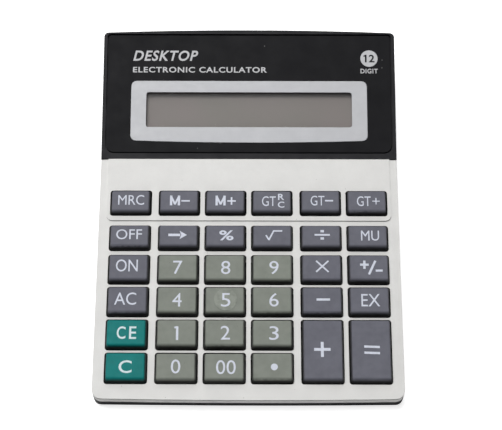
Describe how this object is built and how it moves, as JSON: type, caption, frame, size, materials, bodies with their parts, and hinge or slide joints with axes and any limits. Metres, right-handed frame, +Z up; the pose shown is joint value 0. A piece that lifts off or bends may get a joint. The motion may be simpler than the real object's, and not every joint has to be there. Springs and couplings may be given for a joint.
{
  "type": "desk calculator",
  "caption": "Desk calculator with a sloped silver key deck, black display housing, separate sprung keys and a sliding battery door.",
  "frame": {"origin": "on the table under the middle of the case, level with the undersides of the rubber feet", "axes": "+X to the user's right, +Y away from the user towards the display, +Z up"},
  "size_m": [0.148, 0.1892, 0.0364],
  "materials": {
    "case_black": "moulded black ABS with a fine spark texture, slightly polished at the edges",
    "silver_paint": "satin silver-white paint with very fine metallic flake on ABS",
    "key_grey": "moulded dark grey ABS with a fine satin texture",
    "key_green": "moulded green-grey ABS with a fine satin texture",
    "key_teal": "moulded teal ABS with a fine satin texture",
    "panel_black": "smooth black panel with a soft sheen",
    "frame_silver": "silver-grey painted trim",
    "window_clear": "clear acrylic window",
    "lcd_glass": "grey reflective display behind a polariser",
    "holder_black": "moulded black ABS",
    "ribbon_amber": "amber film cable with dark traces",
    "board_green": "green solder mask over printed traces",
    "epoxy_black": "black epoxy drop",
    "capacitor_blue": "dark blue sleeve with aluminium end",
    "bright_steel": "nickel-plated spring steel",
    "keypad_rubber": "translucent light grey silicone",
    "cell_jacket": "printed metallised sleeve with bright end caps",
    "wire_red": "red PVC insulation",
    "wire_black": "black PVC insulation",
    "screw_steel": "zinc-plated steel screws",
    "foot_rubber": "matt black rubber"
  },
  "bodies": {
    "case": {"bottom_case": "case_black", "top_case": "case_black", "face_plate": "silver_paint", "display_panel": "panel_black", "display_frame": "frame_silver", "display_window": "window_clear", "lcd_glass": "lcd_glass", "lcd_holder": "holder_black", "lcd_ribbon": "ribbon_amber", "circuit_board": "board_green", "chip_cap": "epoxy_black", "capacitor": "capacitor_blue", "crystal": "bright_steel", "rubber_keypad": "keypad_rubber", "battery_cell": "cell_jacket", "battery_spring": "bright_steel", "battery_contact": "bright_steel", "red_wire": "wire_red", "black_wire": "wire_black", "case_screws": "screw_steel", "board_screws": "screw_steel", "holder_screws": "screw_steel", "rubber_feet": "foot_rubber"},
    "key_mrc": {"key_mrc": "key_grey"},
    "key_m_minus": {"key_m_minus": "key_grey"},
    "key_m_plus": {"key_m_plus": "key_grey"},
    "key_gt_rc": {"key_gt_rc": "key_grey"},
    "key_gt_minus": {"key_gt_minus": "key_grey"},
    "key_gt_plus": {"key_gt_plus": "key_grey"},
    "key_off": {"key_off": "key_grey"},
    "key_arrow": {"key_arrow": "key_grey"},
    "key_percent": {"key_percent": "key_grey"},
    "key_root": {"key_root": "key_grey"},
    "key_divide": {"key_divide": "key_grey"},
    "key_mark_up": {"key_mark_up": "key_grey"},
    "key_on": {"key_on": "key_grey"},
    "key_7": {"key_7": "key_green"},
    "key_8": {"key_8": "key_green"},
    "key_9": {"key_9": "key_green"},
    "key_times": {"key_times": "key_grey"},
    "key_sign": {"key_sign": "key_grey"},
    "key_ac": {"key_ac": "key_grey"},
    "key_4": {"key_4": "key_green"},
    "key_5": {"key_5": "key_green"},
    "key_6": {"key_6": "key_green"},
    "key_minus": {"key_minus": "key_grey"},
    "key_exchange": {"key_exchange": "key_grey"},
    "key_ce": {"key_ce": "key_teal"},
    "key_1": {"key_1": "key_green"},
    "key_2": {"key_2": "key_green"},
    "key_3": {"key_3": "key_green"},
    "key_plus": {"key_plus": "key_grey"},
    "key_equals": {"key_equals": "key_grey"},
    "key_c": {"key_c": "key_teal"},
    "key_0": {"key_0": "key_green"},
    "key_00": {"key_00": "key_green"},
    "key_point": {"key_point": "key_green"},
    "battery_door": {"battery_door": "case_black"}
  },
  "joints": [
    {"name": "key_mrc_press", "type": "slide", "parent": "case", "child": "key_mrc", "axis": [0, 0.0785, -0.9969], "range_m": [0, 0.0015], "stiffness_N_per_m": 300, "springref_m": -0.001, "deforming": ["rubber_keypad"]},
    {"name": "key_m_minus_press", "type": "slide", "parent": "case", "child": "key_m_minus", "axis": [0, 0.0785, -0.9969], "range_m": [0, 0.0015], "stiffness_N_per_m": 300, "springref_m": -0.001, "deforming": ["rubber_keypad"]},
    {"name": "key_m_plus_press", "type": "slide", "parent": "case", "child": "key_m_plus", "axis": [0, 0.0785, -0.9969], "range_m": [0, 0.0015], "stiffness_N_per_m": 300, "springref_m": -0.001, "deforming": ["rubber_keypad"]},
    {"name": "key_gt_rc_press", "type": "slide", "parent": "case", "child": "key_gt_rc", "axis": [0, 0.0785, -0.9969], "range_m": [0, 0.0015], "stiffness_N_per_m": 300, "springref_m": -0.001, "deforming": ["rubber_keypad"]},
    {"name": "key_gt_minus_press", "type": "slide", "parent": "case", "child": "key_gt_minus", "axis": [0, 0.0785, -0.9969], "range_m": [0, 0.0015], "stiffness_N_per_m": 300, "springref_m": -0.001, "deforming": ["rubber_keypad"]},
    {"name": "key_gt_plus_press", "type": "slide", "parent": "case", "child": "key_gt_plus", "axis": [0, 0.0785, -0.9969], "range_m": [0, 0.0015], "stiffness_N_per_m": 300, "springref_m": -0.001, "deforming": ["rubber_keypad"]},
    {"name": "key_off_press", "type": "slide", "parent": "case", "child": "key_off", "axis": [0, 0.0785, -0.9969], "range_m": [0, 0.0015], "stiffness_N_per_m": 300, "springref_m": -0.001, "deforming": ["rubber_keypad"]},
    {"name": "key_arrow_press", "type": "slide", "parent": "case", "child": "key_arrow", "axis": [0, 0.0785, -0.9969], "range_m": [0, 0.0015], "stiffness_N_per_m": 300, "springref_m": -0.001, "deforming": ["rubber_keypad"]},
    {"name": "key_percent_press", "type": "slide", "parent": "case", "child": "key_percent", "axis": [0, 0.0785, -0.9969], "range_m": [0, 0.0015], "stiffness_N_per_m": 300, "springref_m": -0.001, "deforming": ["rubber_keypad"]},
    {"name": "key_root_press", "type": "slide", "parent": "case", "child": "key_root", "axis": [0, 0.0785, -0.9969], "range_m": [0, 0.0015], "stiffness_N_per_m": 300, "springref_m": -0.001, "deforming": ["rubber_keypad"]},
    {"name": "key_divide_press", "type": "slide", "parent": "case", "child": "key_divide", "axis": [0, 0.0785, -0.9969], "range_m": [0, 0.0015], "stiffness_N_per_m": 300, "springref_m": -0.001, "deforming": ["rubber_keypad"]},
    {"name": "key_mark_up_press", "type": "slide", "parent": "case", "child": "key_mark_up", "axis": [0, 0.0785, -0.9969], "range_m": [0, 0.0015], "stiffness_N_per_m": 300, "springref_m": -0.001, "deforming": ["rubber_keypad"]},
    {"name": "key_on_press", "type": "slide", "parent": "case", "child": "key_on", "axis": [0, 0.0785, -0.9969], "range_m": [0, 0.0015], "stiffness_N_per_m": 300, "springref_m": -0.001, "deforming": ["rubber_keypad"]},
    {"name": "key_7_press", "type": "slide", "parent": "case", "child": "key_7", "axis": [0, 0.0785, -0.9969], "range_m": [0, 0.0015], "stiffness_N_per_m": 300, "springref_m": -0.001, "deforming": ["rubber_keypad"]},
    {"name": "key_8_press", "type": "slide", "parent": "case", "child": "key_8", "axis": [0, 0.0785, -0.9969], "range_m": [0, 0.0015], "stiffness_N_per_m": 300, "springref_m": -0.001, "deforming": ["rubber_keypad"]},
    {"name": "key_9_press", "type": "slide", "parent": "case", "child": "key_9", "axis": [0, 0.0785, -0.9969], "range_m": [0, 0.0015], "stiffness_N_per_m": 300, "springref_m": -0.001, "deforming": ["rubber_keypad"]},
    {"name": "key_times_press", "type": "slide", "parent": "case", "child": "key_times", "axis": [0, 0.0785, -0.9969], "range_m": [0, 0.0015], "stiffness_N_per_m": 300, "springref_m": -0.001, "deforming": ["rubber_keypad"]},
    {"name": "key_sign_press", "type": "slide", "parent": "case", "child": "key_sign", "axis": [0, 0.0785, -0.9969], "range_m": [0, 0.0015], "stiffness_N_per_m": 300, "springref_m": -0.001, "deforming": ["rubber_keypad"]},
    {"name": "key_ac_press", "type": "slide", "parent": "case", "child": "key_ac", "axis": [0, 0.0785, -0.9969], "range_m": [0, 0.0015], "stiffness_N_per_m": 300, "springref_m": -0.001, "deforming": ["rubber_keypad"]},
    {"name": "key_4_press", "type": "slide", "parent": "case", "child": "key_4", "axis": [0, 0.0785, -0.9969], "range_m": [0, 0.0015], "stiffness_N_per_m": 300, "springref_m": -0.001, "deforming": ["rubber_keypad"]},
    {"name": "key_5_press", "type": "slide", "parent": "case", "child": "key_5", "axis": [0, 0.0785, -0.9969], "range_m": [0, 0.0015], "stiffness_N_per_m": 300, "springref_m": -0.001, "deforming": ["rubber_keypad"]},
    {"name": "key_6_press", "type": "slide", "parent": "case", "child": "key_6", "axis": [0, 0.0785, -0.9969], "range_m": [0, 0.0015], "stiffness_N_per_m": 300, "springref_m": -0.001, "deforming": ["rubber_keypad"]},
    {"name": "key_minus_press", "type": "slide", "parent": "case", "child": "key_minus", "axis": [0, 0.0785, -0.9969], "range_m": [0, 0.0015], "stiffness_N_per_m": 300, "springref_m": -0.001, "deforming": ["rubber_keypad"]},
    {"name": "key_exchange_press", "type": "slide", "parent": "case", "child": "key_exchange", "axis": [0, 0.0785, -0.9969], "range_m": [0, 0.0015], "stiffness_N_per_m": 300, "springref_m": -0.001, "deforming": ["rubber_keypad"]},
    {"name": "key_ce_press", "type": "slide", "parent": "case", "child": "key_ce", "axis": [0, 0.0785, -0.9969], "range_m": [0, 0.0015], "stiffness_N_per_m": 300, "springref_m": -0.001, "deforming": ["rubber_keypad"]},
    {"name": "key_1_press", "type": "slide", "parent": "case", "child": "key_1", "axis": [0, 0.0785, -0.9969], "range_m": [0, 0.0015], "stiffness_N_per_m": 300, "springref_m": -0.001, "deforming": ["rubber_keypad"]},
    {"name": "key_2_press", "type": "slide", "parent": "case", "child": "key_2", "axis": [0, 0.0785, -0.9969], "range_m": [0, 0.0015], "stiffness_N_per_m": 300, "springref_m": -0.001, "deforming": ["rubber_keypad"]},
    {"name": "key_3_press", "type": "slide", "parent": "case", "child": "key_3", "axis": [0, 0.0785, -0.9969], "range_m": [0, 0.0015], "stiffness_N_per_m": 300, "springref_m": -0.001, "deforming": ["rubber_keypad"]},
    {"name": "key_plus_press", "type": "slide", "parent": "case", "child": "key_plus", "axis": [0, 0.0785, -0.9969], "range_m": [0, 0.0015], "stiffness_N_per_m": 300, "springref_m": -0.001, "deforming": ["rubber_keypad"]},
    {"name": "key_equals_press", "type": "slide", "parent": "case", "child": "key_equals", "axis": [0, 0.0785, -0.9969], "range_m": [0, 0.0015], "stiffness_N_per_m": 300, "springref_m": -0.001, "deforming": ["rubber_keypad"]},
    {"name": "key_c_press", "type": "slide", "parent": "case", "child": "key_c", "axis": [0, 0.0785, -0.9969], "range_m": [0, 0.0015], "stiffness_N_per_m": 300, "springref_m": -0.001, "deforming": ["rubber_keypad"]},
    {"name": "key_0_press", "type": "slide", "parent": "case", "child": "key_0", "axis": [0, 0.0785, -0.9969], "range_m": [0, 0.0015], "stiffness_N_per_m": 300, "springref_m": -0.001, "deforming": ["rubber_keypad"]},
    {"name": "key_00_press", "type": "slide", "parent": "case", "child": "key_00", "axis": [0, 0.0785, -0.9969], "range_m": [0, 0.0015], "stiffness_N_per_m": 300, "springref_m": -0.001, "deforming": ["rubber_keypad"]},
    {"name": "key_point_press", "type": "slide", "parent": "case", "child": "key_point", "axis": [0, 0.0785, -0.9969], "range_m": [0, 0.0015], "stiffness_N_per_m": 300, "springref_m": -0.001, "deforming": ["rubber_keypad"]},
    {"name": "battery_door_slide", "type": "slide", "parent": "case", "child": "battery_door", "axis": [0, 1, 0], "range_m": [0, 0.022]}
  ]
}
